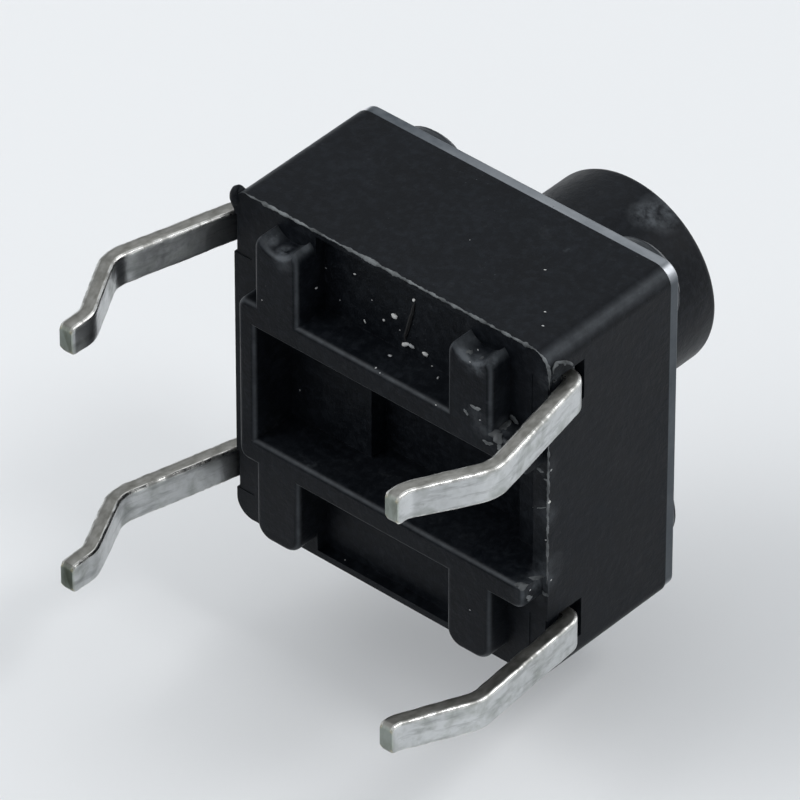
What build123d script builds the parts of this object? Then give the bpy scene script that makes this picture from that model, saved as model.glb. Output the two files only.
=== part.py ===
from build123d import *
from math import asin, degrees
import os

# Tactile push button switch, in millimetres.
# The board surface that its feet stand on is z = 0 and +Z runs along the plunger.
# The origin is the centre of the four-lead pattern.

# Housing
housing_side = 6.2
housing_top = 3.15
corner_radius = 0.32
foot_height = 0.43

# Feet: two bars along Y, tied by two cross bars beside the centre channel.
# The cross bars run on past the feet, and an end bar joins them at -X.
foot_width = 0.86
foot_centre_x = 1.9
foot_end_gap = 0.22
foot_corner_radius = 0.28
foot_edge_radius = 0.1
scallop_radius = 0.38
scallop_offset = 0.15
cross_bar_width = 0.46
cross_bar_left = 2.67
cross_bar_right = 2.98
cross_bar_corner_radius = 0.18
end_bar_width = 0.34

# Channel and pockets moulded into the underside
channel_width = 2.12
channel_end_wall = 0.3
channel_shallow_depth = 0.85
channel_deep_depth = 1.2
channel_step_x = -0.75
channel_ledge = 0.62
pocket_depth = 0.64
pocket_side_wall = 0.12

# Leads: one bent strip carries the two leads of each row
lead_pitch = 4.5
lead_width = 0.58
lead_thickness = 0.27
strip_height = 0.88
root_reach = 3.21
knee_reach = 3.67
knee_height = -1.48
ankle_reach = 3.0
ankle_height = -2.68
tip_height = -3.2
root_bend = 0.18
knee_bend = 0.6
ankle_bend = 0.45
tip_corner_radius = 0.09

# How far each lead has been bent outwards at its knee and at its tip, and cut short
centre_row_left_bent = (0.2, 0.2, 0.05)
centre_row_right_bent = (0.0, 0.0, 0.25)
side_row_left_bent = (0.17, 0.25, 0.0)
side_row_right_bent = (-0.28, -0.2, 0.35)

# Slots in the housing where the leads come out
slot_clearance = 0.07
slot_depth = 0.35
slot_top = 1.2

# Contacts on the floor of the well
well_radius = 2.2
well_floor = 1.6
riser_distance = 1.75
riser_bend = 0.15
tongue_width = 0.9
centre_pad_radius = 0.55
bump_radius = 0.3
bump_height = 0.06
arm_width = 0.7
arm_spacing = 3.0
arm_reach = 0.9

# Snap dome
dome_radius = 2.0
dome_thickness = 0.07
travel = 0.25

# Cover plate and the housing's headed posts that hold it
plate_thickness = 0.2
plate_inset = 0.02
post_spacing = 4.12
post_radius = 0.38
post_clearance = 0.03
head_radius = 0.72
head_shoulder = 0.4
head_crown = 0.22

# Plunger
plunger_radius = 1.68
plunger_top = 6.0
plunger_edge_radius = 0.12
plunger_clearance = 0.1
flange_clearance = 0.1
flange_thickness = 0.5
nub_radius = 0.6
running_gap = 0.02

# Places worked out from the sizes above
lead_row = lead_pitch / 2
contact_height = well_floor - lead_thickness / 2
plate_top = housing_top + plate_thickness
foot_length = housing_side - 2 * foot_end_gap
foot_inner_gap = 2 * foot_centre_x - foot_width
channel_left = cross_bar_left - end_bar_width
channel_right = housing_side / 2 - channel_end_wall
dome_rise = travel + bump_height
dome_crown = well_floor + dome_rise + dome_thickness
crown_base = plate_top + head_shoulder

lead_bends = [ankle_bend, knee_bend, root_bend, root_bend, knee_bend, ankle_bend]


def lead_side(bent):
    """Middle line of one lead as (distance from the centre, height), root first."""
    knee_bent, tip_bent, cut = bent
    return [
        (root_reach, strip_height),
        (knee_reach + knee_bent, knee_height),
        (ankle_reach + tip_bent, ankle_height),
        (ankle_reach + tip_bent, tip_height + cut),
    ]


def lead_row_path(left_bent, right_bent):
    """Middle line of a whole row, from the -X tip through the strip to the +X tip."""
    left_side = [(-x, z) for x, z in reversed(lead_side(left_bent))]
    return left_side + lead_side(right_bent)


def tip_edges(terminal):
    """The short end edges of both leads of a row, across their thickness."""
    return terminal.edges().filter_by(Axis.X).filter_by(lambda edge: edge.center().Z < ankle_height)


# Centre terminal: two leads, and a tongue that rises to the centre contact
with BuildPart() as centre_terminal:
    with BuildLine(Plane.XZ.offset(lead_row)) as centre_strip:
        FilletPolyline(*lead_row_path(centre_row_left_bent, centre_row_right_bent), radius=lead_bends)
    with BuildSketch(Plane(centre_strip.line @ 0, x_dir=(0, 1, 0), z_dir=centre_strip.line % 0)):
        Rectangle(lead_width, lead_thickness)
    sweep(path=centre_strip.line)
    fillet(tip_edges(centre_terminal), radius=tip_corner_radius)
    with BuildLine(Plane.YZ) as tongue:
        FilletPolyline(
            (-lead_row, strip_height),
            (-riser_distance, strip_height),
            (-riser_distance, contact_height),
            (0, contact_height),
            radius=riser_bend,
        )
    with BuildSketch(Plane(tongue.line @ 0, x_dir=(1, 0, 0), z_dir=tongue.line % 0)):
        Rectangle(tongue_width, lead_thickness)
    sweep(path=tongue.line)
    with BuildSketch(Plane.XY.offset(well_floor - lead_thickness)):
        Circle(centre_pad_radius)
    extrude(amount=lead_thickness)
    with BuildSketch(Plane.XY.offset(well_floor)):
        Circle(bump_radius)
    extrude(amount=bump_height, taper=30)


# Side terminal: two leads, and two arms that rise to the rim of the dome
with BuildPart() as side_terminal:
    with BuildLine(Plane.XZ.offset(-lead_row)) as side_strip:
        FilletPolyline(*lead_row_path(side_row_left_bent, side_row_right_bent), radius=lead_bends)
    with BuildSketch(Plane(side_strip.line @ 0, x_dir=(0, 1, 0), z_dir=side_strip.line % 0)):
        Rectangle(lead_width, lead_thickness)
    sweep(path=side_strip.line)
    fillet(tip_edges(side_terminal), radius=tip_corner_radius)
    for arm_x in (-arm_spacing / 2, arm_spacing / 2):
        with BuildLine(Plane.YZ.offset(arm_x)) as arm:
            FilletPolyline(
                (lead_row, strip_height),
                (riser_distance, strip_height),
                (riser_distance, contact_height),
                (-arm_reach, contact_height),
                radius=riser_bend,
            )
        with BuildSketch(Plane(arm.line @ 0, x_dir=(1, 0, 0), z_dir=arm.line % 0)):
            Rectangle(arm_width, lead_thickness)
        sweep(path=arm.line)


# Crown of one post head, a cap of a sphere on the head's shoulder
with BuildPart() as crown:
    crown_ball = (head_radius**2 + head_crown**2) / (2 * head_crown)
    crown_angle = degrees(asin(head_radius / crown_ball))
    with BuildSketch(Plane.XZ):
        with BuildLine():
            cap = CenterArc(
                (0, crown_base + head_crown - crown_ball), crown_ball, 90 - crown_angle, crown_angle
            )
            Polyline(cap @ 1, (0, crown_base), cap @ 0)
        make_face()
    revolve(axis=Axis.Z)


# Base: moulded around both terminals, open above as the well
with BuildPart() as base:
    # Feet and cross bars
    with BuildSketch():
        with GridLocations(2 * foot_centre_x, 0, 2, 1):
            RectangleRounded(foot_width, foot_length, foot_corner_radius)
        with Locations(((cross_bar_right - cross_bar_left) / 2, 0)):
            RectangleRounded(
                cross_bar_left + cross_bar_right,
                channel_width + 2 * cross_bar_width,
                cross_bar_corner_radius,
            )
        with Locations((-channel_left, 0)):
            Rectangle(
                housing_side, channel_width, align=(Align.MIN, Align.CENTER), mode=Mode.SUBTRACT
            )
        with Locations((0, -foot_length / 2 - scallop_offset)):
            with GridLocations(2 * foot_centre_x, 0, 2, 1):
                Circle(scallop_radius, mode=Mode.SUBTRACT)
    extrude(amount=foot_height)
    fillet(base.edges().group_by(Axis.Z)[0], radius=foot_edge_radius)

    # Body
    with BuildSketch(Plane.XY.offset(foot_height)):
        RectangleRounded(housing_side, housing_side, corner_radius)
    extrude(amount=housing_top - foot_height)

    # Pockets between the feet, outside the cross bars
    pocket_start = channel_width / 2 + cross_bar_width
    pocket_length = housing_side / 2 - pocket_side_wall - pocket_start
    with BuildSketch(Plane.XY.offset(pocket_depth)):
        with GridLocations(0, 2 * pocket_start + pocket_length, 1, 2):
            Rectangle(foot_inner_gap, pocket_length)
    extrude(amount=foot_height - pocket_depth, mode=Mode.SUBTRACT)

    # Channel across the middle, stepped deeper towards +X
    with BuildSketch(Plane.XY.offset(channel_shallow_depth)):
        with Locations((-channel_left, 0)):
            Rectangle(
                channel_left + channel_right, channel_width, align=(Align.MIN, Align.CENTER)
            )
    extrude(amount=foot_height - channel_shallow_depth, mode=Mode.SUBTRACT)
    with BuildSketch(Plane.XY.offset(channel_deep_depth)):
        with Locations((channel_step_x, 0)):
            deep_length = channel_right - channel_ledge - channel_step_x
            Rectangle(deep_length, channel_width, align=(Align.MIN, Align.CENTER))
    extrude(amount=channel_shallow_depth - channel_deep_depth, mode=Mode.SUBTRACT)

    # Slots where the leads leave the sides
    with BuildSketch(Plane.XY.offset(foot_height)):
        with GridLocations(housing_side, lead_pitch, 2, 2):
            Rectangle(2 * slot_depth, lead_width + 2 * slot_clearance)
    extrude(amount=slot_top - foot_height, mode=Mode.SUBTRACT)

    # Well for the dome and the plunger's flange
    with BuildSketch(Plane.XY.offset(well_floor)):
        Circle(well_radius)
    extrude(amount=housing_top - well_floor, mode=Mode.SUBTRACT)

    # Posts through the cover plate, with heads formed over it
    with BuildSketch(Plane.XY.offset(housing_top)):
        with GridLocations(post_spacing, post_spacing, 2, 2):
            Circle(post_radius)
    extrude(amount=plate_thickness)
    with BuildSketch(Plane.XY.offset(plate_top)):
        with GridLocations(post_spacing, post_spacing, 2, 2):
            Circle(head_radius)
    extrude(amount=head_shoulder)
    with GridLocations(post_spacing, post_spacing, 2, 2):
        add(crown.part)

    # The terminals fill their own room in the moulding
    add(centre_terminal.part, mode=Mode.SUBTRACT)
    add(side_terminal.part, mode=Mode.SUBTRACT)


# Snap dome: a thin spring disc, bowed over the centre contact
with BuildPart() as snap_dome:
    bow_radius = (dome_radius**2 + dome_rise**2) / (2 * dome_rise)
    bow_centre = well_floor + dome_rise - bow_radius
    bow_angle = degrees(asin(dome_radius / bow_radius))
    with BuildSketch(Plane.XZ):
        with BuildLine():
            under = CenterArc((0, bow_centre), bow_radius, 90 - bow_angle, bow_angle)
            over = CenterArc((0, bow_centre), bow_radius + dome_thickness, 90 - bow_angle, bow_angle)
            Line(under @ 0, over @ 0)
            Line(under @ 1, over @ 1)
        make_face()
    revolve(axis=Axis.Z)


# Plunger: shaft through the cover, flange under it, nub on the dome
flange_top = housing_top - running_gap
flange_bottom = flange_top - flange_thickness
with BuildPart() as plunger:
    with BuildSketch(Plane.XY.offset(flange_bottom)):
        Circle(well_radius - flange_clearance)
    extrude(amount=flange_thickness)
    with BuildSketch(Plane.XY.offset(flange_top)):
        Circle(plunger_radius)
    extrude(amount=plunger_top - flange_top)
    fillet(plunger.edges().group_by(Axis.Z)[-1], radius=plunger_edge_radius)
    with BuildSketch(Plane.XY.offset(dome_crown + running_gap)):
        Circle(nub_radius)
    extrude(amount=flange_bottom - dome_crown - running_gap)
    fillet(plunger.edges().group_by(Axis.Z)[0], radius=plunger_edge_radius)


# Cover plate: punched sheet, held down by the four post heads
with BuildPart() as cover_plate:
    with BuildSketch(Plane.XY.offset(housing_top)):
        plate_side = housing_side - 2 * plate_inset
        RectangleRounded(plate_side, plate_side, corner_radius - plate_inset)
        Circle(plunger_radius + plunger_clearance, mode=Mode.SUBTRACT)
        with GridLocations(post_spacing, post_spacing, 2, 2):
            Circle(post_radius + post_clearance, mode=Mode.SUBTRACT)
    extrude(amount=plate_thickness)


os.makedirs("parts", exist_ok=True)
pieces = {
    "base": base,
    "centre_terminal": centre_terminal,
    "side_terminal": side_terminal,
    "snap_dome": snap_dome,
    "plunger": plunger,
    "cover_plate": cover_plate,
}
for label, piece in pieces.items():
    piece.part.label = label
    export_step(piece.part, f"parts/{label}.step")
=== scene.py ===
import bpy
import bmesh
import numpy as np
from mathutils import Matrix, Vector
from mathutils.bvhtree import BVHTree


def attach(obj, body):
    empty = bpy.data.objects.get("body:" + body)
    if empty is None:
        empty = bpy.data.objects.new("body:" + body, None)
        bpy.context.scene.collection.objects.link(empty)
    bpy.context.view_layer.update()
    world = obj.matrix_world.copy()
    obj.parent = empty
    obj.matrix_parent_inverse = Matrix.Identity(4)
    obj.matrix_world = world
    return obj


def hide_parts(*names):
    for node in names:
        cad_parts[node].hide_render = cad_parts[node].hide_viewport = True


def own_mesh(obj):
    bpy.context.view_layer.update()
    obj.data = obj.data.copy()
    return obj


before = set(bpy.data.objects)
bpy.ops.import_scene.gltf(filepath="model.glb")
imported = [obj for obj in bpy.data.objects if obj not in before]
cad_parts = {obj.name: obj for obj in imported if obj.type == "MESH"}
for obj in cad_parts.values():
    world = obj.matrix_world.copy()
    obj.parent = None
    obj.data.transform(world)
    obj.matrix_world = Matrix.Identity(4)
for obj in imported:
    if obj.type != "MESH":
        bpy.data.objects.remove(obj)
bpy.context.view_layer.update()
MM = 0.001

# Sizes in millimetres, as the solids have them, apart from the post heads. The solids' plainer
# heads, 0.72 in radius and 0.62 high, stay inside these larger ones, but for their shoulders,
# which stand out by up to 0.022 about 0.4 above the plate and show as a fine seam.
LEAD_ROW = 2.25
LEAD_WIDTH = 0.58
LEAD_THICKNESS = 0.27
STRIP_HEIGHT = 0.88
ROOT_REACH = 3.21
KNEE_REACH = 3.67
KNEE_HEIGHT = -1.48
ANKLE_REACH = 3.0
ANKLE_HEIGHT = -2.68
TIP_HEIGHT = -3.2
TIP_CORNER = 0.09
LEAD_BENDS = [0.45, 0.6, 0.18]  # radii of the middle line at ankle, knee and root
WELL_FLOOR = 1.6
CONTACT_HEIGHT = WELL_FLOOR - LEAD_THICKNESS / 2
RISER = 1.75
RISER_BEND = 0.15
HOUSING_HALF = 3.1
HOUSING_TOP = 3.15
RIM_HEIGHT = 0.43
PLUNGER_TOP = 6.0
PLUNGER_RADIUS = 1.68
FLANGE_RADIUS = 2.1
FLANGE_TOP = 3.13
FLANGE_BOTTOM = 2.63
NUB_RADIUS = 0.6
NUB_BOTTOM = 2.0
HEAD_SPACING = 4.12
HEAD_RADIUS = 0.79
HEAD_HEIGHT = 0.67
PLATE_THICKNESS = 0.2
PLATE_TOP = HOUSING_TOP + PLATE_THICKNESS
ARM_PLACE = 1.5
ARM_REACH = 0.9
ARM_WIDTH = 0.7
TONGUE_WIDTH = 0.9
DOME_RADIUS = 2.0
DOME_RISE = 0.31
DOME_THICKNESS = 0.07
PLUNGER_EDGE = 0.12

# Sizes that are the scene's own
EDGE_WIDTH = 0.03  # of the rounding on edges that the solids leave sharp
STRIP_INNER_EDGE, STRIP_OUTER_EDGE = 0.058, 0.06
WEB_WIDTH, WEB_THICKNESS, WEB_TOP, WEB_INSET = 0.82, 0.3, 0.735, 0.2

# How far each lead is bent out at its knee and at its tip, and cut short
CENTRE_ROW_BENT = ((0.2, 0.2, 0.05), (0.0, 0.0, 0.25))
SIDE_ROW_BENT = ((0.17, 0.25, 0.0), (-0.28, -0.2, 0.35))

# The camera: the picture's directions in the part's frame, its distance from its aim in
# millimetres, how many pixels a millimetre takes there, and the pixel that the aim falls on
LOOK_RIGHT = np.array([0.7504499, 0.0000543, 0.6609273])
LOOK_DOWN = np.array([0.4102196, 0.7840314, -0.4658483])
LOOK_AHEAD = np.array([-0.518213, 0.6207212, 0.5883541])
DISTANCE = 160.0
PIXELS_PER_MM = 67.3315
PICTURE_SIDE = 800
PICTURE_MIDDLE = PICTURE_SIDE / 2
CENTRE_PIXEL = (390.48, 435.877)
AIM = np.array([0.0, 0.0, RIM_HEIGHT])


# Mesh tools


def piece(name, shapes, finish, body="housing", node=None, sharp=40):
    """A finished piece that rides on a body, from (points, faces, values) shapes with points
    in millimetres. Doubled points are merged, which closes the poles, and edges over the
    angle stay sharp. Where a node is named, the piece stands for it."""
    points, faces, values = joined(shapes)
    mesh = bpy.data.meshes.new(name)
    mesh.from_pydata((np.asarray(points, float) * MM).tolist(), [], faces)
    for key, numbers in values.items():
        layer = mesh.attributes.new(key, "FLOAT", "POINT")
        layer.data.foreach_set("value", np.asarray(numbers, np.float32))
    work = bmesh.new()
    work.from_mesh(mesh)
    bmesh.ops.remove_doubles(work, verts=work.verts, dist=5e-8)
    work.to_mesh(mesh)
    work.free()
    mesh.validate()
    mesh.shade_smooth()
    mesh.set_sharp_from_angle(angle=np.radians(sharp))
    made = bpy.data.objects.new(name, mesh)
    bpy.context.scene.collection.objects.link(made)
    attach(made, body)
    made.data.materials.append(finish)
    if node:
        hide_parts(node)
    return made


def grid_faces(rows, columns):
    """Quads of a rows by columns grid of points that closes on itself across the columns."""
    i, j = np.meshgrid(np.arange(rows - 1), np.arange(columns), indexing="ij")
    k = (j + 1) % columns
    row, next_row = i * columns, (i + 1) * columns
    quads = np.stack([row + j, row + k, next_row + k, next_row + j], -1)
    return quads.reshape(-1, 4).tolist()


def joined(shapes):
    """Several (points, faces, values) shapes as one, with the faces renumbered."""
    points, faces, values, count = [], [], {}, 0
    for shape_points, shape_faces, shape_values in shapes:
        points.append(shape_points)
        faces += [[corner + count for corner in face] for face in shape_faces]
        for key, numbers in shape_values.items():
            values.setdefault(key, []).append(numbers)
        count += len(shape_points)
    return np.concatenate(points), faces, {key: np.concatenate(v) for key, v in values.items()}


def turned(profile, segments=96, centre=(0.0, 0.0)):
    """Surface of revolution: point = centre + r * (cos a, sin a), height z, for each (r, z)
    of the profile, which runs from the middle of the underside to the middle of the top."""
    radius, height = np.asarray(profile, float).T
    angle = np.linspace(0, 2 * np.pi, segments, endpoint=False)
    x = centre[0] + np.outer(radius, np.cos(angle))
    y = centre[1] + np.outer(radius, np.sin(angle))
    points = np.stack([x, y, np.repeat(height[:, None], segments, 1)], -1).reshape(-1, 3)
    return points, grid_faces(len(radius), segments), {}


def rounded_line(corners, radii, steps=8):
    """A line through the corners with each inner corner turned into an arc of its radius."""
    corners = np.asarray(corners, float)
    line = [corners[0]]
    for before, corner, after, radius in zip(corners[:-2], corners[1:-1], corners[2:], radii):
        back = (before - corner) / np.linalg.norm(before - corner)
        ahead = (after - corner) / np.linalg.norm(after - corner)
        half = np.arccos(np.clip(back @ ahead, -1, 1)) / 2
        middle = corner + (back + ahead) / np.linalg.norm(back + ahead) * radius / np.sin(half)
        first = corner + back * radius / np.tan(half) - middle
        last = corner + ahead * radius / np.tan(half) - middle
        share = np.linspace(0, 1, steps)[:, None]
        turn = np.pi - 2 * half
        arc = first * np.sin((1 - share) * turn) + last * np.sin(share * turn)
        line += list(middle + arc / np.sin(turn))
    line.append(corners[-1])
    return np.array(line)


def evenly(line, step):
    """The line's own points, with more between them so that no run is longer than the step."""
    out = [line[0]]
    for a, b in zip(line[:-1], line[1:]):
        count = max(1, int(np.ceil(np.linalg.norm(b - a) / step)))
        out += [a + (b - a) * k / count for k in range(1, count + 1)]
    return np.array(out)


def wobble(t, seed, pace=1.0):
    """A smooth uneven number between about -1 and 1 along t: a sum of nine unlike sines."""
    waves = 9
    dice = np.random.default_rng(seed)
    rate = dice.uniform(0.6, 9.0, waves) * pace
    phase = dice.uniform(0, 6.28, waves)
    size = dice.uniform(0.4, 1.0, waves)
    return (np.sin(np.asarray(t)[..., None] * rate + phase) * size).sum(-1) / size.sum() * 1.8


def oblong(width, thickness, inner_radius, outer_radius):
    """Closed outline of a strip's section, counterclockwise: an oblong whose two outer
    corners have one radius and whose two inner corners have another."""
    longest_run = 0.075
    arc = np.linspace(0, np.pi / 2, 5)
    corners = []
    for sign_w, sign_t, first in ((1, 1, 0), (-1, 1, 1), (-1, -1, 2), (1, -1, 3)):
        radius = outer_radius if sign_t > 0 else inner_radius
        angle = arc + first * np.pi / 2
        w = sign_w * (width / 2 - radius) + radius * np.cos(angle)
        t = sign_t * (thickness / 2 - radius) + radius * np.sin(angle)
        corners.append(np.stack([w, t], -1))
    loop = np.concatenate(corners)
    return evenly(np.concatenate([loop, loop[:1]]), longest_run)[:-1]


def strip_along(line, across, width, thickness, seed, tips=False):
    """A flat strip carried along a line. Point = line + across * w + normal * t, where (w, t)
    runs round the section and the normal is tangent x across. The section shrinks to a point
    at both ends to close them, and with tips it also tapers towards them, corners rounded."""
    tangent = np.gradient(line, axis=0)
    tangent /= np.linalg.norm(tangent, axis=1)[:, None]
    across = np.asarray(across, float)
    normal = np.cross(tangent, across)
    along = np.concatenate([[0], np.cumsum(np.linalg.norm(np.diff(line, axis=0), axis=1))])
    to_tip = np.minimum(along, along[-1] - along)
    section = oblong(width, thickness, STRIP_INNER_EDGE, STRIP_OUTER_EDGE)
    w, t = section.T
    scale_w, scale_t = np.ones(len(line)), np.ones(len(line))
    if tips:
        # A tenth narrower over the last 1.1 mm, corners rounded, thinner in the last 0.05 mm
        corner = np.clip(1 - to_tip / TIP_CORNER, 0, 1)
        narrowing = 0.1 * np.clip(1 - to_tip / 1.1, 0, 1)
        scale_w = 1 - narrowing - 0.26 * (1 - np.sqrt(1 - corner**2))
        scale_t = 1 - 0.12 * np.clip(1 - to_tip / 0.05, 0, 1) ** 2
    ends = [0, 0, *range(len(line)), len(line) - 1, len(line) - 1]
    scale_w, scale_t = scale_w[ends], scale_t[ends]
    scale_w[[0, -1]] = scale_t[[0, -1]] = 0
    scale_w[[1, -2]] *= 0.9
    scale_t[[1, -2]] *= 0.82
    line, normal, along = line[ends], normal[ends], along[ends]
    edge_band = 0.055
    side = np.clip((np.abs(w) - (width / 2 - edge_band)) / 0.03, 0, 1)
    ridge = side * np.clip((np.abs(t) - (thickness / 2 - edge_band)) / 0.02, 0, 1)
    uneven = wobble(along[:, None] * 3 + np.sign(w) * 5 + t * 8, seed) * 0.005 * side
    place_w = (w + np.sign(w) * uneven) * scale_w[:, None]
    place_t = (t + wobble(along * 2, seed + 1)[:, None] * 0.003) * scale_t[:, None]
    points = line[:, None] + across * place_w[..., None] + normal[:, None] * place_t[..., None]
    rows, columns = place_w.shape
    cut = np.zeros((rows, columns))
    if tips:
        cut[[0, 1, 2, -3, -2, -1]] = 1
    ridge = np.tile(ridge, (rows, 1))
    ridge[[0, 1, -2, -1]] = 0
    values = {
        "sheared": np.broadcast_to(side, (rows, columns)).ravel(),
        "ridge": ridge.ravel(),
        "cut_end": cut.ravel(),
        "along": np.broadcast_to(along[:, None], (rows, columns)).ravel(),
        "across": place_w.ravel(),
        "through": place_t.ravel(),
    }
    return points.reshape(-1, 3), grid_faces(rows, columns), values


def plain_values(points):
    """The strip's point values, all nought, for a shape that isn't a strip."""
    names = ("sheared", "ridge", "cut_end", "along", "across", "through")
    return {name: np.zeros(len(points)) for name in names}


# Terminals: each a bent strip with two leads and its contacts


def lead_points(bent):
    """Middle line of one lead as (distance from the centre, height), root first."""
    knee, tip, cut = bent
    return [
        (ROOT_REACH, STRIP_HEIGHT),
        (KNEE_REACH + knee, KNEE_HEIGHT),
        (ANKLE_REACH + tip, ANKLE_HEIGHT),
        (ANKLE_REACH + tip, TIP_HEIGHT + cut),
    ]


def lead_row(y, bent, seed):
    """The strip of one row, from the -X tip up, across the housing and down to the +X tip."""
    left = [(-x, y, z) for x, z in reversed(lead_points(bent[0]))]
    right = [(x, y, z) for x, z in lead_points(bent[1])]
    line = evenly(rounded_line(left + right, LEAD_BENDS + LEAD_BENDS[::-1], 12), 0.05)
    return strip_along(line, (0, 1, 0), LEAD_WIDTH, LEAD_THICKNESS, seed, tips=True)


def contact_arm(x, y_from, y_to, width, seed):
    """A strip that leaves a row, rises to the floor of the well and runs on across it."""
    side = np.sign(y_from)
    corners = [
        (x, y_from, STRIP_HEIGHT),
        (x, side * RISER, STRIP_HEIGHT),
        (x, side * RISER, CONTACT_HEIGHT),
        (x, y_to, CONTACT_HEIGHT),
    ]
    line = evenly(rounded_line(corners, [RISER_BEND, RISER_BEND]), 0.1)
    return strip_along(line, (1, 0, 0), width, LEAD_THICKNESS, seed)


def centre_terminal():
    """Two leads, the tongue, and the round centre contact with its raised bump."""
    profile = [(0, 1.33), (0.52, 1.33), (0.55, 1.36), (0.55, 1.585), (0.535, 1.6), (0.3, 1.6)]
    profile += [(0.285, 1.63), (0.265, 1.652), (0.2, 1.659), (0.1, 1.66), (0, 1.66)]
    pad, pad_faces, _ = turned(profile, 48)
    return [
        lead_row(-LEAD_ROW, CENTRE_ROW_BENT, 11),
        contact_arm(0, -LEAD_ROW, 0, TONGUE_WIDTH, 13),
        (pad, pad_faces, plain_values(pad)),
    ]


def side_terminal():
    """Two leads, and the two arms that rise to the rim of the dome."""
    return [
        lead_row(LEAD_ROW, SIDE_ROW_BENT, 31),
        contact_arm(-ARM_PLACE, LEAD_ROW, -ARM_REACH, ARM_WIDTH, 33),
        contact_arm(ARM_PLACE, LEAD_ROW, -ARM_REACH, ARM_WIDTH, 35),
    ]


# Dome, plunger, and the finished copies of the base and the cover plate


def bow(radius_from_centre, rise, reach):
    """Height over the rim of a spherical bow: the ball of radius (reach^2 + rise^2) / 2 rise."""
    ball = (reach**2 + rise**2) / (2 * rise)
    return np.sqrt(ball**2 - radius_from_centre**2) - (ball - rise)


def snap_dome():
    """A thin disc with a rounded rim. Both skins are the same spherical bow, one over the other."""
    r = np.linspace(0, DOME_RADIUS, 22)
    under = np.stack([r, WELL_FLOOR + bow(r, DOME_RISE, DOME_RADIUS)], -1)
    over = under[::-1] + [0, DOME_THICKNESS]
    rim = [(DOME_RADIUS + 0.018, WELL_FLOOR + 0.02), (DOME_RADIUS + 0.02, WELL_FLOOR + 0.045)]
    return [turned(np.concatenate([under, rim, over]))]


def plunger():
    """Turned form: nub, flange and shaft, each edge an arc, the shaft a hair narrower above."""
    def corner(r, z, size, first):
        """A quarter arc of six points round an edge of the outline."""
        angle = np.radians(first + np.linspace(0, 90, 6))
        return [(r + size * np.cos(a), z + size * np.sin(a)) for a in angle]

    top = PLUNGER_RADIUS - 0.012
    profile = [(0, NUB_BOTTOM), (0.3, NUB_BOTTOM)]
    profile += corner(NUB_RADIUS - PLUNGER_EDGE, NUB_BOTTOM + PLUNGER_EDGE, PLUNGER_EDGE, -90)
    profile += [(NUB_RADIUS, FLANGE_BOTTOM), (1.3, FLANGE_BOTTOM)]
    profile += corner(FLANGE_RADIUS - EDGE_WIDTH, FLANGE_BOTTOM + EDGE_WIDTH, EDGE_WIDTH, -90)
    profile += corner(FLANGE_RADIUS - EDGE_WIDTH, FLANGE_TOP - EDGE_WIDTH, EDGE_WIDTH, 0)
    profile += [(PLUNGER_RADIUS, FLANGE_TOP), (PLUNGER_RADIUS, FLANGE_TOP + 0.6)]
    profile += [(PLUNGER_RADIUS - 0.006, 4.6), (top, 5.5)]
    profile += corner(top - PLUNGER_EDGE, PLUNGER_TOP - PLUNGER_EDGE, PLUNGER_EDGE, 0)
    profile += [(r, PLUNGER_TOP) for r in (1.5, 1.2, 0.42, 0.38)]
    # The shallow round mark in the middle of the top
    profile += [(0.36, PLUNGER_TOP - 0.004), (0.34, PLUNGER_TOP - 0.016)]
    profile += [(r, PLUNGER_TOP - 0.02) for r in (0.32, 0.28, 0.1, 0)]
    return [turned(profile, 160)]


def post_head(centre, seed):
    """The melted head of a post: a superellipse dome on the plate, r = radius * cos^0.72 t
    and z = height * sin^0.78 t over it, a little uneven round its edge, flat underneath."""
    around = 48
    t = np.linspace(0, np.pi / 2, 16)
    r = HEAD_RADIUS * np.cos(t).clip(0) ** 0.72
    z = PLATE_TOP + HEAD_HEIGHT * np.sin(t) ** 0.78
    r, z = np.concatenate([[0, 0.6], r]), np.concatenate([[PLATE_TOP, PLATE_TOP], z])
    r[-1] = 0
    points, faces, _ = turned(np.stack([r, z], -1), around, centre)
    points = points.reshape(len(r), around, 3)
    angle = np.linspace(0, 2 * np.pi, around, endpoint=False)
    uneven = 1 + 0.012 * wobble(np.sin(angle) * 2, seed)
    middle = np.array(centre)
    points[..., :2] = middle + (points[..., :2] - middle) * uneven[None, :, None]
    return points.reshape(-1, 3), faces, {}


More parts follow.
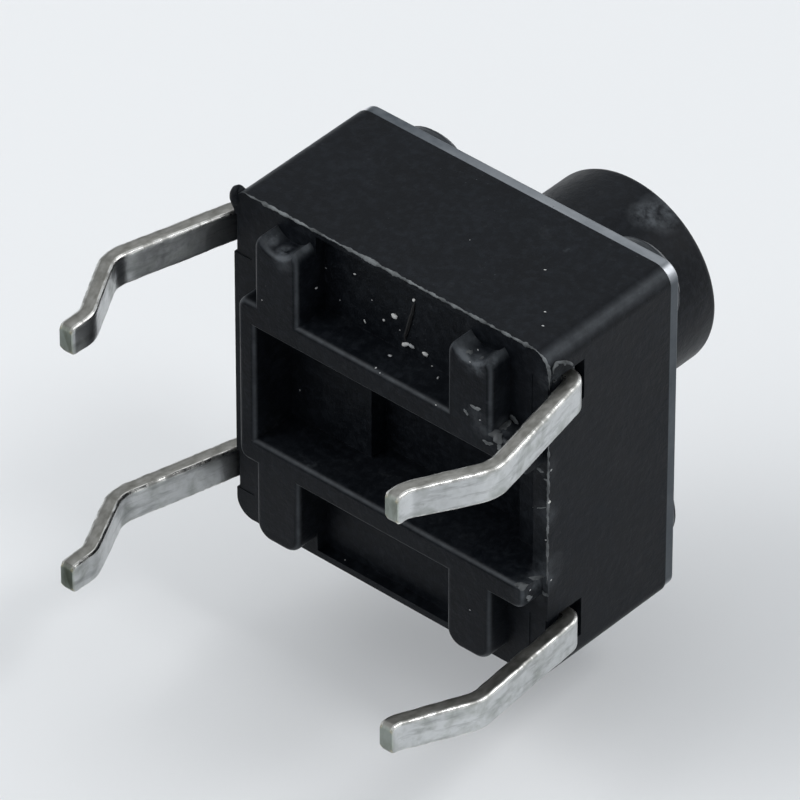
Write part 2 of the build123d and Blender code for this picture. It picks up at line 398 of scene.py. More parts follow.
def finished_copy(node, name, finish):
    """A copy of a CAD node: doubled points merged, flat facets joined, every edge sharper
    than 35 degrees rounded by a Bevel, and the normals of its flats kept straight. Each face
    corner gets the value turned, from 0 where the surface faces along an axis to 1 where it
    faces midway between two: 1 - the largest part of its normal, over 1 - cos 45 degrees."""
    sharp = np.radians(35)
    work = bmesh.new()
    work.from_mesh(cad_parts[node].data)
    bmesh.ops.remove_doubles(work, verts=work.verts, dist=2e-7)
    nearly_flat = np.radians(0.8)
    bmesh.ops.dissolve_limit(work, angle_limit=nearly_flat, verts=work.verts, edges=work.edges)
    work.verts.index_update()
    points = [v.co[:] for v in work.verts]
    faces = [[v.index for v in face.verts] for face in work.faces]
    work.free()
    mesh = bpy.data.meshes.new(name)
    mesh.from_pydata(points, [], faces)
    mesh.shade_smooth()
    mesh.set_sharp_from_angle(angle=sharp)
    made = bpy.data.objects.new(name, mesh)
    bpy.context.scene.collection.objects.link(made)
    bevel = made.modifiers.new("edges", "BEVEL")
    bevel.width = EDGE_WIDTH * MM
    bevel.segments = 3
    bevel.limit_method = "ANGLE"
    bevel.angle_limit = sharp
    bevel.use_clamp_overlap = True
    bevel.miter_outer = "MITER_ARC"
    flats = made.modifiers.new("flats", "WEIGHTED_NORMAL")
    flats.mode = "FACE_AREA"
    flats.weight = 90
    flats.keep_sharp = True
    evaluated = made.evaluated_get(bpy.context.evaluated_depsgraph_get())
    shaped = bpy.data.meshes.new_from_object(evaluated)
    made.modifiers.clear()
    made.data = shaped
    normals = np.empty(len(shaped.loops) * 3, np.float32)
    shaped.corner_normals.foreach_get("vector", normals)
    turned_away = 1 - np.abs(normals.reshape(-1, 3)).max(1)
    layer = shaped.attributes.new("turned", "FLOAT", "CORNER")
    layer.data.foreach_set("value", np.clip(turned_away / (1 - np.sqrt(0.5)), 0, 1))
    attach(made, "housing")
    made.data.materials.append(finish)
    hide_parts(node)
    return made


# Small things on the moulding: flash, scraps of plastic, dust


def flash_line(corners, radii, seed, size):
    """A thin uneven ridge left by the mould's joint: a small round section carried along
    the rim. Its radius = size * (0.6 + slow and quick wobbles + beads), where each bead is
    a short swelling, and it fades out at both ends."""
    step = 0.02
    line = evenly(rounded_line(corners, radii, 10), step)
    tangent = np.gradient(line, axis=0)
    tangent /= np.linalg.norm(tangent, axis=1)[:, None]
    up = np.array([0.0, 0.0, 1.0])
    side = np.cross(tangent, up)
    t = np.linspace(0, 1, len(line))
    along = np.arange(len(line)) * step
    fade = np.clip(np.minimum(t, 1 - t) * 14, 0, 1)
    dice = np.random.default_rng(seed)

    def bead():
        """A bell-shaped swelling: its size, then its middle, then its length are drawn."""
        swelling = dice.uniform(0.1, 0.6)
        from_middle = along - dice.uniform(0.2, along[-1] - 0.2)
        return swelling * np.exp(-((from_middle / dice.uniform(0.03, 0.11)) ** 2))

    beads = sum(bead() for _ in range(30))
    ragged = 0.25 * wobble(along * 5, seed, pace=1.6)
    ragged = ragged + 0.22 * wobble(along * 24, seed + 2, pace=1.6)
    radius = size * np.clip(0.6 + ragged + beads, 0.25, 1.5) * fade
    drift = (wobble(along * 6, seed + 1) * 0.006 + wobble(along * 22, seed + 3) * 0.004)[:, None]
    angle = np.linspace(0, 2 * np.pi, 8, endpoint=False)
    ring = np.cos(angle)[None, :, None] * side[:, None] + np.sin(angle)[None, :, None] * up
    points = (line + side * drift)[:, None] + ring * radius[:, None, None]
    return points.reshape(-1, 3), grid_faces(len(line), 8), {}


def thread(points, thickness, seed, sides=6):
    """A fibre, curl or nub: a round section carried along the line through the points, which
    wanders a little, thinner at both ends by the square root of sin(pi * t)."""
    line = np.asarray(points, float)
    share = np.linspace(0, 1, len(line))
    fine = np.linspace(0, 1, 40)
    line = np.stack([np.interp(fine, share, line[:, k]) for k in range(3)], -1)
    line = line + wobble(fine * 3, seed)[:, None] * 0.006
    tangent = np.gradient(line, axis=0)
    tangent /= np.linalg.norm(tangent, axis=1)[:, None]
    side = np.cross(tangent, (0.3, 0.2, 0.93))
    side /= np.linalg.norm(side, axis=1)[:, None]
    other = np.cross(tangent, side)
    radius = thickness / 2 * np.sqrt(np.sin(np.pi * np.clip(fine, 0, 1)).clip(0))
    angle = np.linspace(0, 2 * np.pi, sides, endpoint=False)
    cos, sin = np.cos(angle)[None, :, None], np.sin(angle)[None, :, None]
    ring = cos * side[:, None] + sin * other[:, None]
    points = line[:, None] + ring * radius[:, None, None]
    return points.reshape(-1, 3), grid_faces(len(line), sides), {}


def lump(centre, normal, size, flatness, seed, rows=7, columns=10, uneven=0.28):
    """A small uneven grain: a ball whose radius is 1 + uneven * sin 2a + half of it * sin 3a
    + a third of it * sin 5a round its middle, stretched one way, squashed along the normal."""
    normal = np.asarray(normal, float) / np.linalg.norm(normal)
    side = np.cross(normal, (0.31, 0.93, 0.2))
    side /= np.linalg.norm(side)
    other = np.cross(normal, side)
    dice = np.random.default_rng(seed)
    stretch = dice.uniform(0.6, 1.4)
    latitude = np.linspace(-np.pi / 2, np.pi / 2, rows)[:, None]
    longitude = np.linspace(0, 2 * np.pi, columns, endpoint=False)[None, :]
    belt = uneven * np.cos(latitude) ** 2
    knobbly = 1 + belt * np.sin(2 * longitude + dice.uniform(0, 6))
    knobbly = knobbly + belt / 2 * np.sin(3 * longitude + 2 * latitude + dice.uniform(0, 6))
    knobbly = knobbly + belt / 3 * np.sin(5 * longitude - latitude + dice.uniform(0, 6))
    a = np.cos(latitude) * np.cos(longitude) * knobbly * stretch
    b = np.cos(latitude) * np.sin(longitude) * knobbly / stretch
    c = np.sin(latitude) * flatness + 0 * longitude
    points = centre + size * (a[..., None] * side + b[..., None] * other + c[..., None] * normal)
    return points.reshape(-1, 3), grid_faces(rows, columns), {}


def camera_place():
    """Where the camera is, in millimetres: back from the aim along the view, and then to the
    side, so that the aim falls on its own pixel."""
    across = (PICTURE_MIDDLE - CENTRE_PIXEL[0]) / PIXELS_PER_MM
    down = (PICTURE_MIDDLE - CENTRE_PIXEL[1]) / PIXELS_PER_MM
    return AIM - LOOK_AHEAD * DISTANCE + (LOOK_RIGHT * across + LOOK_DOWN * down)


def sight_line(pixel):
    """Start and direction, in millimetres, of the camera's line through a pixel."""
    scale = PIXELS_PER_MM * DISTANCE
    across, down = pixel[0] - PICTURE_MIDDLE, pixel[1] - PICTURE_MIDDLE
    direction = LOOK_AHEAD + LOOK_RIGHT * across / scale + LOOK_DOWN * down / scale
    return camera_place(), direction / np.linalg.norm(direction)


def surface_at(tree, pixel):
    """Where the camera's line through a pixel meets the moulding, and its normal there."""
    start, direction = sight_line(pixel)
    place, normal, _, _ = tree.ray_cast(Vector(start * MM), Vector(direction))
    return (None, None) if place is None else (np.array(place) / MM, np.array(normal))


def grains_on(tree, places, raised, flatness, seed, **shape):
    """Grains on the moulding at the (pixel across, pixel down, size) of each, their middles
    raised above it by a share of their size."""
    grains = []
    for number, (u, v, size) in enumerate(places):
        place, normal = surface_at(tree, (u, v))
        if place is not None:
            centre, radius = place + normal * size * raised, size * 0.9
            grains.append(lump(centre, normal, radius, flatness, seed + number, **shape))
    return grains


def thread_on(tree, pixels, raised, thickness, seed):
    """A thread laid over the moulding, its middle line raised above the faces below the pixels."""
    on_face = [surface_at(tree, pixel) for pixel in pixels]
    line = [place + normal * raised for place, normal in on_face if place is not None]
    return thread(line, thickness, seed)


# Finishes


class Number:
    """One socket of a material. Sums, differences and products of it add Math nodes."""

    def __init__(self, finish, socket):
        self.finish, self.socket = finish, socket

    def maths(self, operation, *parts):
        """A Math node of the operation on the parts."""
        return self.finish.add("ShaderNodeMath", {"operation": operation}, dict(enumerate(parts)))

    def __add__(self, other):
        return self.maths("ADD", self, other)

    def __radd__(self, other):
        return self.maths("ADD", other, self)

    def __sub__(self, other):
        return self.maths("SUBTRACT", self, other)

    def __rsub__(self, other):
        return self.maths("SUBTRACT", other, self)

    def __mul__(self, other):
        return self.maths("MULTIPLY", self, other)

    def __rmul__(self, other):
        return self.maths("MULTIPLY", other, self)

    def clamped(self):
        """The number held between 0 and 1."""
        return self.finish.add("ShaderNodeClamp", {}, {0: self})


class Finish:
    """A material in the making. add() makes a node of any type, its settings first."""

    def __init__(self, name):
        self.material = bpy.data.materials.new(name)
        self.material.use_nodes = True
        self.tree = self.material.node_tree
        self.tree.nodes.clear()
        self.place = self.add("ShaderNodeTexCoord", {}, {}, "Object")

    def add(self, kind, settings, inputs, output=0):
        """A node of the kind, with its settings, and its sockets set or linked."""
        node = self.tree.nodes.new(kind)
        for name, value in settings.items():
            setattr(node, name, value)
        for name, value in inputs.items():
            if isinstance(value, Number):
                self.tree.links.new(value.socket, node.inputs[name])
            else:
                node.inputs[name].default_value = value
        return Number(self, node.outputs[output]) if node.outputs else None

    def noise(self, scale, detail=3.0, rough=0.5, stretch=None, vector=None, twist=0.0):
        """Cloudy pattern from 0 to 1. The scale counts lumps to the metre, or to 1 of the vector."""
        source = vector or self.place
        if stretch:
            source = self.add("ShaderNodeMapping", {}, {"Vector": source, "Scale": stretch})
        inputs = {"Vector": source, "Scale": scale, "Detail": detail, "Roughness": rough}
        return self.add("ShaderNodeTexNoise", {}, {**inputs, "Distortion": twist})

    def cells(self, scale):
        """Distance to the nearest of a scatter of points. The scale counts them to the metre."""
        inputs = {"Vector": self.place, "Scale": scale}
        return self.add("ShaderNodeTexVoronoi", {}, inputs, "Distance")

    def ramp(self, value, low, high, start=0.0, end=1.0):
        """The value stretched so that low and high become start and end, and held between."""
        inputs = {"Value": value, "From Min": low, "From Max": high}
        return self.add("ShaderNodeMapRange", {}, {**inputs, "To Min": start, "To Max": end})

    def mix(self, share, first, second):
        """Colour between the first and the second."""
        def full(colour):
            return colour if isinstance(colour, Number) else (*colour, 1)
        inputs = {0: share, 6: full(first), 7: full(second)}
        return self.add("ShaderNodeMix", {"data_type": "RGBA"}, inputs, 2)

    def near(self, place, reach):
        """1 within 0.35 of the reach from a place in millimetres, falling to 0 at the reach."""
        away = {0: self.place, 1: tuple(x * MM for x in place)}
        distance = self.add("ShaderNodeVectorMath", {"operation": "DISTANCE"}, away, "Value")
        return self.ramp(distance, reach * MM, reach * MM * 0.35)

    def along(self, axis):
        """How far along X, Y or Z the place is, in metres."""
        return self.add("ShaderNodeSeparateXYZ", {}, {"Vector": self.place}, axis)

    def value(self, name):
        """A number kept on the mesh's points or face corners."""
        return self.add("ShaderNodeAttribute", {"attribute_name": name}, {}, "Fac")

    def vector(self, x, y, z):
        """Three numbers as one vector."""
        return self.add("ShaderNodeCombineXYZ", {}, {"X": x, "Y": y, "Z": z})

    def bump(self, height, strength, depth, under=None):
        """A normal roughened by the height; the depth is in metres."""
        inputs = {"Height": height, "Strength": strength, "Distance": depth}
        if under:
            inputs["Normal"] = under
        return self.add("ShaderNodeBump", {}, inputs)

    def surface(self, **inputs):
        """Ends the material with a Principled surface."""
        names = {name.replace("_", " "): value for name, value in inputs.items()}
        shader = self.add("ShaderNodeBsdfPrincipled", {}, names)
        self.add("ShaderNodeOutputMaterial", {}, {"Surface": shader})
        return self.material


def black_plastic(name, tone, edge_tone, rough, dusty, scuffs_and_highlights=(), heads=None):
    """Moulded black plastic: spark-eroded grain, cloudy sheen, rounded edges smoother and painted
    paler, a painted highlight that stands in part for wear too, scuffs at the (place, reach,
    strength) given, some of them painted highlights, and dust. Above the height `heads` it is
    melted smooth, and paler, the paler tone partly a painted sheen."""
    rubbed_highlight_grey = (0.075, 0.083, 0.092)
    grit_grey = (0.14, 0.15, 0.16)
    melted_sheen_grey = (0.06, 0.068, 0.076)
    f = Finish(name)
    cloud = f.noise(700, 4, 0.6)
    patch = f.noise(3300, 5, 0.65)
    grain = f.noise(21000, 3, 0.6)
    fine = f.noise(62000, 2, 0.5)
    # Rounded edges paler and smoother: a painted highlight on the lit lips, partly also wear.
    rubbed_and_highlit = f.ramp(f.value("turned"), 0.12, 0.75) * (0.55 + f.ramp(patch, 0.35, 0.6) * 0.45)
    rubbed_and_highlit = rubbed_and_highlit.clamped()
    # Scuffs, and at the places on the feet's ends a painted highlight.
    scuff_and_highlight = f.ramp(patch, 0.6, 0.76) * f.ramp(cloud, 0.5, 0.64) * 0.5
    for place, reach, strength in scuffs_and_highlights:
        scuff_and_highlight = scuff_and_highlight + f.near(place, reach) * f.ramp(patch, 0.38, 0.62) * strength
    scuff_and_highlight = scuff_and_highlight.clamped()
    grit = f.ramp(f.cells(8500), 0.09, 0.04) * f.ramp(f.noise(1300, 3), 0.6 - dusty * 0.06, 0.7)
    mottle = f.ramp(f.noise(7500, 4, 0.62), 0.46, 0.66)
    soft = f.ramp(grain, 0.5, 0.8) * 0.2 + f.ramp(cloud, 0.42, 0.68) * 0.3 + mottle * 0.5
    worn_and_highlit = f.mix(soft.clamped(), tone, edge_tone)
    worn_and_highlit = f.mix((rubbed_and_highlit * 0.6 + scuff_and_highlight * 0.9).clamped(), worn_and_highlit, rubbed_highlight_grey)
    colour = f.mix((grit * 0.5).clamped(), worn_and_highlit, grit_grey)
    roughness = rough + f.ramp(cloud, 0.35, 0.65) * 0.1 + mottle * 0.06 - rubbed_and_highlit * 0.14
    roughness = roughness + scuff_and_highlight * 0.1 + grit * 0.2
    if heads:
        # Post heads paler: partly the heat-staked plastic's tone, partly a painted sheen.
        melted = f.ramp(f.along("Z"), heads * MM, (heads + 0.04) * MM)
        colour = f.mix(melted * 0.4, colour, melted_sheen_grey)
        roughness = roughness - melted * 0.16
    coarse = f.bump(f.noise(4600, 4, 0.55) + mottle * 0.3, 0.6, 1.1e-5)
    normal = f.bump(grain + fine * 0.45, 0.6, 5e-6, coarse)
    return f.surface(Base_Color=colour, Roughness=roughness, Specular_IOR_Level=0.13, Normal=normal)


def plated_strip(name):
    """Silver-plated brass: rolled faces with fine lines along the strip and soft tarnish,
    the sheared edges a duller warm grey with a painted highlight, near white in beads, along
    their ridges, and the cut tips bare."""
    silver, tarnished = (0.60, 0.615, 0.62), (0.27, 0.29, 0.265)
    streaked, specked = (0.21, 0.22, 0.22), (0.16, 0.155, 0.13)
    sheared_grey, torn_grey = (0.29, 0.287, 0.27), (0.17, 0.168, 0.152)
    bare_metal, bare_torn = (0.46, 0.50, 0.46), (0.33, 0.355, 0.31)
    ridge_highlight_colour, brass = (0.96, 0.955, 0.92), (0.60, 0.54, 0.36)
    f = Finish(name)
    along, across, through = f.value("along"), f.value("across"), f.value("through")
    sheared, cut_end, ridge = f.value("sheared"), f.value("cut_end"), f.value("ridge")

    def on_strip(a, b, c):
        """A place on the strip, so that a pattern follows its bends."""
        return f.vector(along * a, across * b, through * c)

    rolled = f.noise(1.0, 3, 0.6, vector=on_strip(1.1, 34, 5))
    torn = f.noise(1.0, 4, 0.6, vector=on_strip(5, 3, 9))
    stain = f.noise(2400, 4, 0.55, twist=0.5)
    blotch = f.noise(6500, 3, 0.5)
    beads = f.ramp(f.noise(1.0, 3, 0.6, vector=on_strip(7, 2, 2)), 0.4, 0.56)
    speck = f.ramp(f.cells(9000), 0.1, 0.05) * f.ramp(f.noise(2600, 3), 0.52, 0.64)
    tarnish = (f.ramp(stain, 0.46, 0.68) * 0.6 + f.ramp(blotch, 0.5, 0.72) * 0.25).clamped()
    streak = f.ramp(f.noise(1.0, 4, 0.6, vector=on_strip(1.6, 9, 9)), 0.5, 0.68)
    face = f.mix(tarnish, silver, tarnished)
    face = f.mix(streak * 0.55, face, streaked)
    face = f.mix(speck * 0.5, face, specked)
    edge = f.mix(f.ramp(torn, 0.36, 0.68), sheared_grey, torn_grey)
    colour = f.mix(sheared, face, edge)
    # Painted highlight along the ridges, near white in beads.
    painted_highlight = ridge * (0.25 + beads * 0.75)
    colour = f.mix(painted_highlight, colour, ridge_highlight_colour)
    bare = f.mix(f.ramp(torn, 0.4, 0.65), bare_metal, bare_torn)
    colour = f.mix(cut_end, colour, f.mix(ridge * 0.7, bare, brass))
    roughness = 0.3 + tarnish * 0.14 + sheared * 0.1 + cut_end * 0.1 + speck * 0.2 - painted_highlight * 0.24
    soft = f.bump(f.noise(1500, 3, 0.5), 0.6, 3.2e-5)
    lines = f.bump(rolled * 0.7 + blotch * 0.6, 0.35, 4e-6, soft)
    normal = f.bump(torn * (sheared + cut_end) + f.noise(26000, 2) * 0.2, 0.4, 8e-6, lines)
    return f.surface(Base_Color=colour, Metallic=1.0, Roughness=roughness, Normal=normal)


def sheet_steel(name, base, dull, rough, rim=None):
    """Rolled steel sheet: fine lines along X, cloudy grey, small dark pits, and a painted highlight
    along its rounded corners. Beyond `rim` millimetres from the middle it is dull on the cut
    edges that face along Y, with painted shade making them darker towards -X, and the +X edge
    is darkened as painted shade."""
    pit_grey, corner_highlight_colour = (0.09, 0.09, 0.09), (0.8, 0.82, 0.85)
    cut_edge_and_shade_grey, painted_shade_grey = (0.09, 0.105, 0.12), (0.05, 0.06, 0.07)
    f = Finish(name)
    rolled = f.noise(3000, 4, 0.65, stretch=(0.05, 1.0, 1.0))
    cloud = f.noise(1100, 4, 0.6)
    pit = f.ramp(f.cells(9000), 0.13, 0.05) * f.ramp(f.noise(2400, 2), 0.5, 0.62)
    dulled = f.ramp(cloud, 0.4, 0.68) * 0.7 + f.ramp(rolled, 0.45, 0.7) * 0.3
    colour = f.mix(dulled.clamped(), base, dull)
    colour = f.mix(pit * 0.7, colour, pit_grey)
    # Painted highlight along the rounded corners.
    painted_highlight = f.ramp(f.value("turned"), 0.2, 0.9) * f.ramp(f.noise(2600, 3), 0.45, 0.62)
    colour = f.mix(painted_highlight * 0.8, colour, corner_highlight_colour)
    roughness = rough + f.ramp(rolled, 0.35, 0.7) * 0.14 + f.ramp(cloud, 0.4, 0.7) * 0.1 + pit * 0.2
    if rim:
        x, y = f.along("X"), f.along("Y")
        cut_edge = f.ramp(y.maths("ABSOLUTE", y), rim * MM, (rim + 0.03) * MM) * (1 - painted_highlight)
        # Dull cut edges, and painted shade making them darker towards -X.
        shade_towards_left = f.ramp(x, 0.6 * MM, -2.6 * MM)
        share = (0.5 + shade_towards_left * 0.3 + f.ramp(cloud, 0.62, 0.4) * 0.25).clamped()
        colour = f.mix(cut_edge * share, colour, cut_edge_and_shade_grey)
        # Painted shade: the +X cut edge is made nearly black.
        x_edge_shade = f.ramp(x, rim * MM, (rim + 0.05) * MM)
        colour = f.mix(x_edge_shade * 0.93, colour, painted_shade_grey)
        roughness = roughness + x_edge_shade * 0.12
    normal = f.bump(rolled + f.noise(16000, 3) * 0.5, 0.4, 4e-6)
    return f.surface(Base_Color=colour, Metallic=1.0, Roughness=roughness, Normal=normal)


def dust_finish(name, low, high):
    """A matt finish for grains, scraps, flash and fibres, cloudy between two colours."""
    f = Finish(name)
    shade = f.noise(3600, 2)
    return f.surface(Base_Color=f.mix(f.ramp(shade, 0.35, 0.65), low, high), Roughness=0.7)


# Places, reaches and strengths of the scuffs, in millimetres. The last eight, on the ends of
# the feet, are painted highlights on their lit rounded ends; the rest are scuffs.
HOUSING_SCUFFS_AND_HIGHLIGHTS = (
    ((2.98, 1.29, 0.28), 0.42, 0.5), ((3.04, 0.95, 0.43), 0.4, 0.45),
    ((2.94, -0.94, 0.43), 0.34, 0.4), ((2.12, -1.6, 0.05), 0.3, 0.6),
    ((2.44, -1.5, 0.25), 0.24, 0.5), ((3.08, -0.1, 0.43), 0.3, 0.45),
    ((3.05, -2.6, 0.5), 0.25, 0.7), ((-1.75, -2.62, 0.1), 0.26, 0.7),
    ((1.9, -2.62, 0.1), 0.26, 0.6), ((-1.85, -2.65, 0.2), 0.17, 1.0),
    ((-2.14, -2.72, 0.2), 0.14, 0.8), ((-1.58, -2.82, 0.3), 0.12, 0.8),
    ((2.08, -2.6, 0.0), 0.17, 1.0), ((1.75, -2.68, 0.05), 0.14, 0.8),
    ((2.27, -2.77, 0.1), 0.13, 0.9),
)
PLUNGER_SCUFFS = (
    ((0.75, -1.5, 5.75), 0.42, 1.0), ((0.62, -1.55, 5.45), 0.3, 0.8),
    ((-1.2, -1.1, 5.8), 0.5, 0.2),
)
BLACK, SOFT_BLACK = (0.0018, 0.0027, 0.0044), (0.0115, 0.0140, 0.0180)
MELTED_FROM = PLATE_TOP + 0.02  # the height above which the housing's plastic is post heads
PLATE_RIM = 3.03  # just inside the plate's cut edges, which are at 3.08

housing_plastic = black_plastic(
    "housing plastic", BLACK, SOFT_BLACK, 0.46, 1.0, HOUSING_SCUFFS_AND_HIGHLIGHTS, heads=MELTED_FROM
)
plunger_plastic = black_plastic("plunger plastic", BLACK, SOFT_BLACK, 0.36, 0.5, PLUNGER_SCUFFS)
plated_brass = plated_strip("plated brass strip")
cover_steel = sheet_steel(
    "cover steel", (0.56, 0.58, 0.61), (0.42, 0.44, 0.465), 0.25, rim=PLATE_RIM
)
spring_steel = sheet_steel("spring steel", (0.62, 0.62, 0.60), (0.5, 0.5, 0.48), 0.16)
# Pale grey: on the flash a painted highlight along the rim; on the curls and the hair their own
# colour.
pale_plastic_and_highlight = dust_finish("pale plastic and highlight", (0.028, 0.032, 0.034), (0.15, 0.162, 0.168))
# On the scraps their own colour; on the burr a painted highlight.
scrap_plastic_and_highlight = dust_finish("scrap plastic and highlight", (0.03, 0.034, 0.037), (0.15, 0.16, 0.165))
dust = dust_finish("dust", (0.30, 0.31, 0.32), (0.62, 0.62, 0.60))
fibre_dark = dust_finish("dark fibre", (0.002, 0.002, 0.003), (0.004, 0.004, 0.005))


# The pieces

base = finished_copy("base", "base_moulding", housing_plastic)
finished_copy("cover_plate", "cover_plate_sheet", cover_steel)
piece(
    "centre_terminal_strip", centre_terminal(), plated_brass,
    node="centre_terminal",
)
piece(
    "side_terminal_strip", side_terminal(), plated_brass,
    node="side_terminal",
)
snap_disc = piece("snap_disc", snap_dome(), spring_steel, node="snap_dome")
piece(
    "plunger_button", plunger(), plunger_plastic,
    body="plunger", node="plunger", sharp=50,
)
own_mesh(snap_disc)

# Flash along the rim beside the -Y side, and round its corner on the +X side, and a burr
# along the rim of the +X side, both coloured pale as painted highlights along those edges
rim = HOUSING_HALF - 0.012
rim_z = RIM_HEIGHT - 0.004
flash_corners = [(-2.95, -rim, rim_z), (rim, -rim, rim_z), (rim, -2.45, rim_z)]
piece("mould_flash_highlight", [flash_line(flash_corners, [0.32], 5, 0.026)], pale_plastic_and_highlight)
# The burr's pale colour is a painted highlight along the +X rim.
burr_ends = [(rim, -1.6, rim_z), (rim, 1.2, rim_z)]
piece("edge_burr_highlight", [flash_line(burr_ends, [], 6, 0.014)], scrap_plastic_and_highlight)

# The thin web of plastic under each lead's root, behind the strip
webs = []
for side_x in (-1, 1):
    for row in (-LEAD_ROW, LEAD_ROW):
        middle = side_x * (HOUSING_HALF - WEB_INSET)
        ends = np.array([(middle, row, RIM_HEIGHT + 0.012), (middle, row, WEB_TOP)])
        web = strip_along(evenly(ends, 0.05), (0, 1, 0), WEB_WIDTH, WEB_THICKNESS, 51)
        webs.append((*web[:2], {}))
piece("root_webs", webs, housing_plastic)

# The melted heads of the four posts, over the cover plate
half = HEAD_SPACING / 2
head_places = [(x, y) for x in (-half, half) for y in (-half, half)]
heads = [post_head(place, 70 + number) for number, place in enumerate(head_places)]
piece("post_heads", heads, housing_plastic, sharp=60)

# Dust and scraps as (pixel across, pixel down, size in millimetres). Each lies on the
# moulding, where the camera's line through that pixel of the photograph meets it.
moulding = BVHTree.FromObject(base, bpy.context.evaluated_depsgraph_get())
DUST_AT = (
    (316, 288, 0.026), (355, 274, 0.02), (365, 321, 0.024), (384, 320, 0.024), (395, 316, 0.056),
    (414, 300, 0.032), (406, 344, 0.062), (412, 346, 0.045), (426, 354, 0.05), (390, 356, 0.03),
    (438, 378, 0.024), (543, 326, 0.018), (545, 270, 0.014), (545, 312, 0.016), (400, 330, 0.012),
    (372, 300, 0.01), (340, 300, 0.01), (432, 366, 0.014), (551, 470, 0.02), (549, 502, 0.03),
    (546, 540, 0.014), (551, 580, 0.016), (480, 420, 0.014), (530, 590, 0.016), (345, 560, 0.012),
    (470, 610, 0.012), (300, 390, 0.01), (262, 300, 0.01), (470, 240, 0.008), (380, 373, 0.014),
    (478, 350, 0.014), (470, 362, 0.012), (512, 470, 0.012), (436, 405, 0.012), (326, 268, 0.012),
    (376, 368, 0.016),
)
SCRAPS_AT = (
    (497, 436, 0.11), (506, 425, 0.1), (514, 419, 0.07), (488, 443, 0.06), (500, 447, 0.075),
    (520, 452, 0.045), (476, 408, 0.06), (466, 412, 0.04), (522, 586, 0.08), (536, 578, 0.07),
    (529, 598, 0.06), (545, 594, 0.05), (556, 366, 0.035), (565, 364, 0.03), (549, 371, 0.03),
    (571, 370, 0.03), (470, 352, 0.05), (482, 358, 0.04), (540, 470, 0.045), (547, 480, 0.035),
)
piece("dust_specks", grains_on(moulding, DUST_AT, 0.2, 0.5, 100), dust)
scraps = grains_on(moulding, SCRAPS_AT, 0.02, 0.26, 200, rows=9, columns=20, uneven=0.5)
piece("plastic_scraps", scraps, scrap_plastic_and_highlight)

# A black nub of plastic at the corner above the far lead, and two curls beside the near lead
NUB_LINE = [(-2.98, -3.0, 0.52), (-3.07, -2.94, 0.52), (-3.1, -2.8, 0.53), (-3.09, -2.55, 0.56)]
piece("corner_nub", [thread(NUB_LINE, 0.27, 240, 20)], housing_plastic)
CURLS_AT = (
    ((553, 374), (552, 368), (556, 363), (563, 361),
     (570, 363), (574, 368), (572, 374), (566, 377)),
    ((549, 384), (553, 380), (558, 378), (562, 381)),
)
curls = [thread_on(moulding, run, 0.018, 0.05, 60 + number) for number, run in enumerate(CURLS_AT)]
piece("plastic_curls", curls, pale_plastic_and_highlight)

# A dark fibre across the upper pocket, and a pale hair on the rim
FIBRE_AT = ((415, 302), (413, 312), (410, 322), (407, 332), (405, 341))
piece("fibre", [thread_on(moulding, FIBRE_AT, 0.008, 0.07, 7)], fibre_dark)
HAIR_AT = ((532, 507), (538, 508), (544, 507.5), (547, 507))
piece("pale_hair", [thread_on(moulding, HAIR_AT, 0.006, 0.016, 8)], pale_plastic_and_highlight)


# Stage: two pale plains that only show from their own side, and soft lamps


def pale_plain(name, corners, colour):
    """A large flat plain. It shows to the camera and in reflections, and catches the object's
    shadow. It is clear from behind, and neither shades the object nor shines on it."""
    mesh = bpy.data.meshes.new(name)
    mesh.from_pydata((np.array(corners, float) * MM).tolist(), [], [[0, 1, 2, 3]])
    made = bpy.data.objects.new(name, mesh)
    bpy.context.scene.collection.objects.link(made)
    f = Finish(name)
    behind = f.add("ShaderNodeNewGeometry", {}, {}, "Backfacing")
    rays = ("Camera", "Glossy", "Transmission")
    shown = sum(f.add("ShaderNodeLightPath", {}, {}, f"Is {ray} Ray") for ray in rays)
    hidden = (behind + (1 - shown.clamped())).clamped()
    paint = f.add("ShaderNodeBsdfDiffuse", {}, {"Color": (*colour, 1)})
    clear = f.add("ShaderNodeBsdfTransparent", {}, {})
    shader = f.add("ShaderNodeMixShader", {}, {0: hidden, 1: paint, 2: clear})
    f.add("ShaderNodeOutputMaterial", {}, {"Surface": shader})
    made.data.materials.append(f.material)


def soft_lamp(name, place, size, strength):
    """A square lamp of this side in millimetres, aimed at the switch. Its power is what
    gives its face the radiance `strength`: strength * pi * area."""
    lamp = bpy.data.lights.new(name, "AREA")
    lamp.shape = "SQUARE"
    lamp.size = size * MM
    lamp.energy = strength * np.pi * (size * MM) ** 2
    made = bpy.data.objects.new(name, lamp)
    bpy.context.scene.collection.objects.link(made)
    place, aim = Vector(place) * MM, Vector(LAMP_AIM) * MM
    made.location = place
    made.rotation_mode = "QUATERNION"
    made.rotation_quaternion = (aim - place).to_track_quat("-Z", "Y")


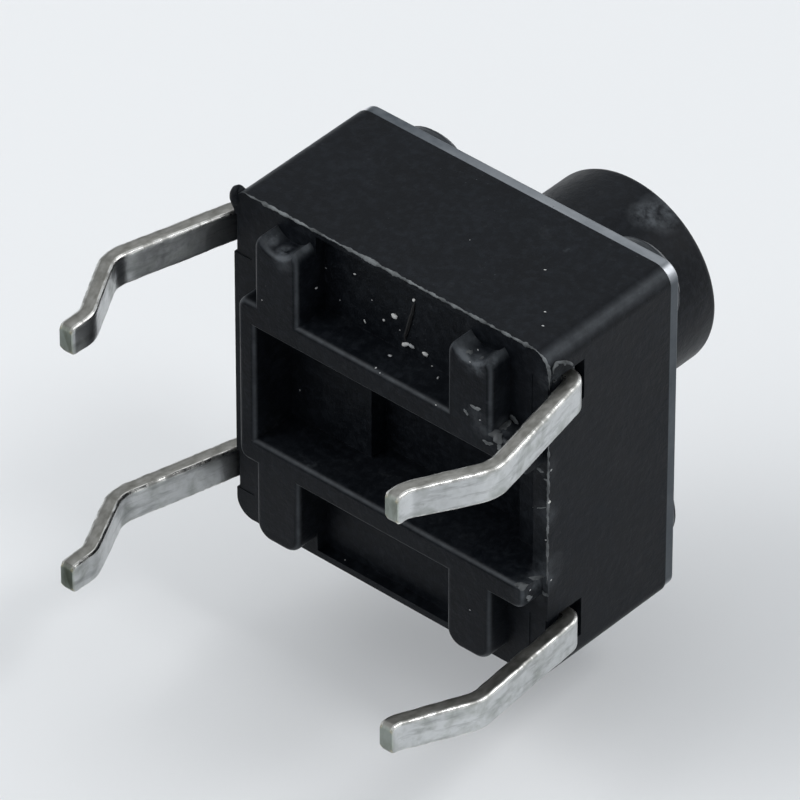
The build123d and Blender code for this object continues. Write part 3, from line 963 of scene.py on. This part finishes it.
FAR = 900
BEHIND, BELOW = 5.2, TIP_HEIGHT - 0.02
PALE = (0.80, 0.81, 0.82)
square = ((-FAR, -FAR), (FAR, -FAR), (FAR, FAR), (-FAR, FAR))
pale_plain("backdrop", [(x, BEHIND, z) for x, z in square], PALE)
pale_plain("floor", [(x, y, BELOW) for x, y in square], PALE)

ROOM_COLOUR, ROOM_STRENGTH = (0.92, 0.96, 1.0, 1), 0.5
world = bpy.data.worlds.new("room")
bpy.context.scene.world = world
world.use_nodes = True
background = world.node_tree.nodes["Background"]
background.inputs["Color"].default_value = ROOM_COLOUR
background.inputs["Strength"].default_value = ROOM_STRENGTH

LAMP_AIM = (0, 0, 1)
picture_up = -LOOK_DOWN
toward = -LOOK_AHEAD
upper_left = -0.74 * LOOK_RIGHT + 0.46 * picture_up + 0.49 * toward
upper_right = 0.80 * LOOK_RIGHT + 0.52 * picture_up + 0.29 * toward
overhead = 0.05 * LOOK_RIGHT + 0.95 * picture_up + 0.05 * toward
lower_right = 0.72 * LOOK_RIGHT - 0.45 * picture_up + 0.5 * toward
front = 0.42 * LOOK_RIGHT + 0.42 * picture_up + 0.8 * toward

# Each lamp's name, place, side and radiance
for lamp in (
    ("key", upper_left * 170, 150, 2.3),
    ("side", upper_right * 170, 110, 1.4),
    ("overhead", overhead * 180, 100, 0.8),
    ("front", front * 170, 38, 11.0),
    ("low", lower_right * 180, 120, 0.6),
    ("top", (60, 30, 190), 130, 1.2),
    ("back", (-60, 190, 60), 140, 0.9),
):
    soft_lamp(*lamp)

# Camera at the photograph's own angle
camera_data = bpy.data.cameras.new("camera")
camera = bpy.data.objects.new("camera", camera_data)
bpy.context.scene.collection.objects.link(camera)
camera_data.sensor_width = 36
camera_data.lens = PIXELS_PER_MM * DISTANCE / PICTURE_SIDE * camera_data.sensor_width
camera_data.clip_start, camera_data.clip_end = 0.01, 10
turn = Matrix(np.stack([LOOK_RIGHT, -LOOK_DOWN, -LOOK_AHEAD], -1).tolist())
camera.matrix_world = Matrix.Translation(Vector(camera_place() * MM)) @ turn.to_4x4()
bpy.context.scene.camera = camera

bpy.context.scene.view_settings.view_transform = "Standard"
